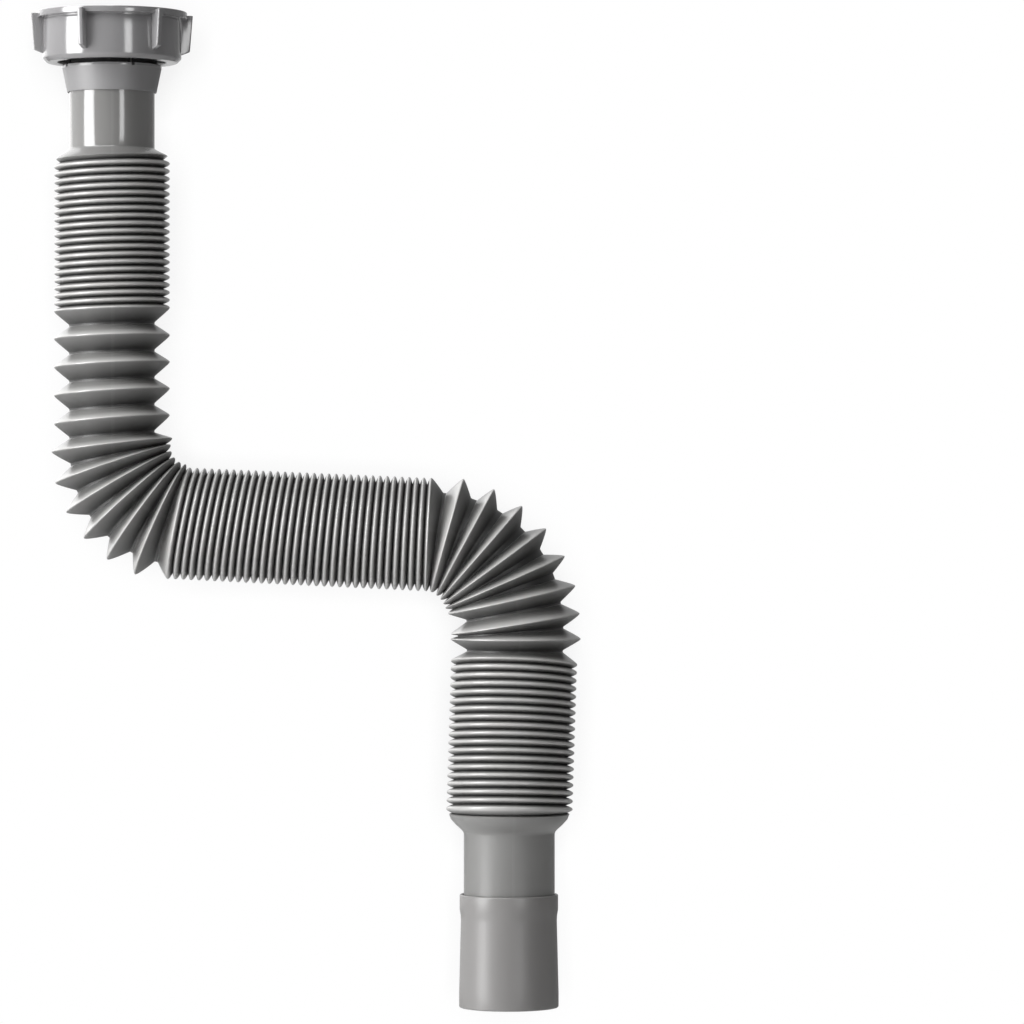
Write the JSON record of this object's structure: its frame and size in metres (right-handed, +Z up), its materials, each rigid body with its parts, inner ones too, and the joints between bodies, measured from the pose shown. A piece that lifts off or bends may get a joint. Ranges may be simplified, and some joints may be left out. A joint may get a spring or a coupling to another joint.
{
  "type": "flexible sink trap",
  "caption": "Corrugated waste hose bent twice into a sink trap, with a lugged union nut, snap collar and seal washer at the inlet and a plain push-fit sleeve at the outlet.",
  "frame": {"origin": "centre of the union nut's mouth, where the trap hangs from the sink's waste outlet", "axes": "+Z up along the inlet's axis, out of the nut's mouth; +X from the inlet towards the outlet"},
  "size_m": [0.2194, 0.0622, 0.3977],
  "materials": {
    "nut": "glossy moulded grey plastic",
    "collar": "semi-gloss moulded grey plastic",
    "washer": "matt black rubber",
    "hose": "semi-gloss blown grey plastic",
    "sleeve": "satin grey plastic"
  },
  "bodies": {
    "inlet": {"hose_upper_run": "hose", "hose_open_folds": "hose", "seal_washer": "washer"},
    "collar": {"thrust_collar": "collar"},
    "nut": {"union_nut": "nut"},
    "elbow": {"hose_upper_bend": "hose"},
    "cross_run": {"hose_middle_run": "hose", "hose_lower_bend": "hose"},
    "outlet": {"hose_lower_run": "hose", "outlet_sleeve": "sleeve"}
  },
  "joints": [
    {"name": "collar_slide", "type": "slide", "parent": "inlet", "child": "collar", "axis": [0, 0, 1], "range_m": [-0.0218, 0]},
    {"name": "nut_spin", "type": "hinge", "parent": "collar", "child": "nut", "pos_m": [0, 0, -0.01], "axis": [0, 0, 1], "continuous": true},
    {"name": "folds_stretch", "type": "slide", "parent": "inlet", "child": "elbow", "axis": [0, 0, 1], "range_m": [0, 0.031], "deforming": ["hose_open_folds"]},
    {"name": "upper_bend_flex", "type": "hinge", "parent": "elbow", "child": "cross_run", "pos_m": [0.0238, 0, -0.1793], "axis": [0, 1, 0], "range_deg": [0, 70], "deforming": ["hose_upper_bend"]},
    {"name": "lower_bend_flex", "type": "hinge", "parent": "cross_run", "child": "outlet", "pos_m": [0.1316, 0, -0.2365], "axis": [0, -1, 0], "range_deg": [0, 80], "deforming": ["hose_lower_bend"]}
  ]
}
